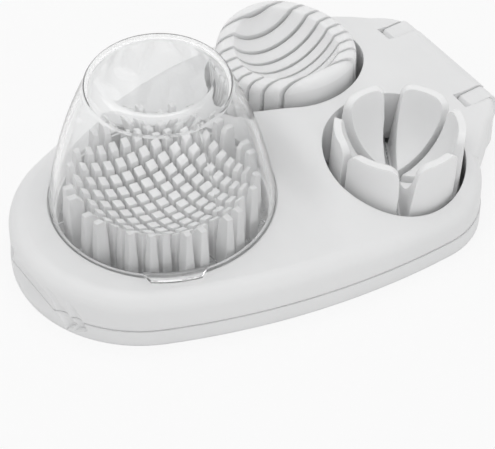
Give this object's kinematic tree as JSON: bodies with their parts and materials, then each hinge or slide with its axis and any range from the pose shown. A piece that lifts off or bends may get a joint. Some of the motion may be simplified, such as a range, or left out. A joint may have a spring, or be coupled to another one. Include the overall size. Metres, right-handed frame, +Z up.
{
  "type": "egg slicer",
  "caption": "Hinged white egg slicer with dicing, slicing and wedging cups under a wired lid and a clear lift-off dome.",
  "frame": {"origin": "middle of the footprint, on the surface that it stands on", "axes": "+Z up, +Y from the rounded nose to the hinge, +X towards the wedge cup's side"},
  "size_m": [0.1278, 0.1833, 0.0755],
  "materials": {
    "white_plastic": "satin moulded plastic, pale grey white",
    "clear_plastic": "clear moulded plastic",
    "steel_wire": "drawn stainless wire",
    "steel": "plain stainless steel"
  },
  "bodies": {
    "base": {"base_tray": "white_plastic", "dicing_cup": "white_plastic", "dicing_pins": "white_plastic", "slicing_cup": "white_plastic", "wedge_cup": "white_plastic", "cup_screws": "steel", "hinge_pin": "steel"},
    "lid": {"dicing_frame": "white_plastic", "dicing_wire_cross_01": "steel_wire", "dicing_wire_cross_02": "steel_wire", "dicing_wire_cross_03": "steel_wire", "dicing_wire_cross_04": "steel_wire", "dicing_wire_cross_05": "steel_wire", "dicing_wire_cross_06": "steel_wire", "dicing_wire_cross_07": "steel_wire", "dicing_wire_cross_08": "steel_wire", "dicing_wire_cross_09": "steel_wire", "dicing_wire_cross_10": "steel_wire", "dicing_wire_cross_11": "steel_wire", "dicing_wire_cross_12": "steel_wire", "dicing_wire_long_01": "steel_wire", "dicing_wire_long_02": "steel_wire", "dicing_wire_long_03": "steel_wire", "dicing_wire_long_04": "steel_wire", "dicing_wire_long_05": "steel_wire", "dicing_wire_long_06": "steel_wire", "dicing_wire_long_07": "steel_wire", "dicing_wire_long_08": "steel_wire", "dicing_wire_long_09": "steel_wire", "dicing_wire_long_10": "steel_wire", "dicing_wire_long_11": "steel_wire", "dicing_wire_long_12": "steel_wire", "lid_shell": "white_plastic", "slicing_frame": "white_plastic", "slicing_wire_1": "steel_wire", "slicing_wire_2": "steel_wire", "slicing_wire_3": "steel_wire", "slicing_wire_4": "steel_wire", "slicing_wire_5": "steel_wire", "slicing_wire_6": "steel_wire", "slicing_wire_7": "steel_wire", "slicing_wire_8": "steel_wire", "slicing_wire_9": "steel_wire", "wedge_frame": "white_plastic", "wedge_wire_left": "steel_wire", "wedge_wire_middle": "steel_wire", "wedge_wire_right": "steel_wire"},
    "dome": {"dome": "clear_plastic"}
  },
  "joints": [
    {"name": "lid_hinge", "type": "hinge", "parent": "base", "child": "lid", "pos_m": [0, 0.084, 0.0175], "axis": [-1, 0, 0], "range_deg": [0, 100]},
    {"name": "dome_lift", "type": "slide", "parent": "lid", "child": "dome", "axis": [0, 0, 1], "range_m": [0, 0.06]}
  ]
}
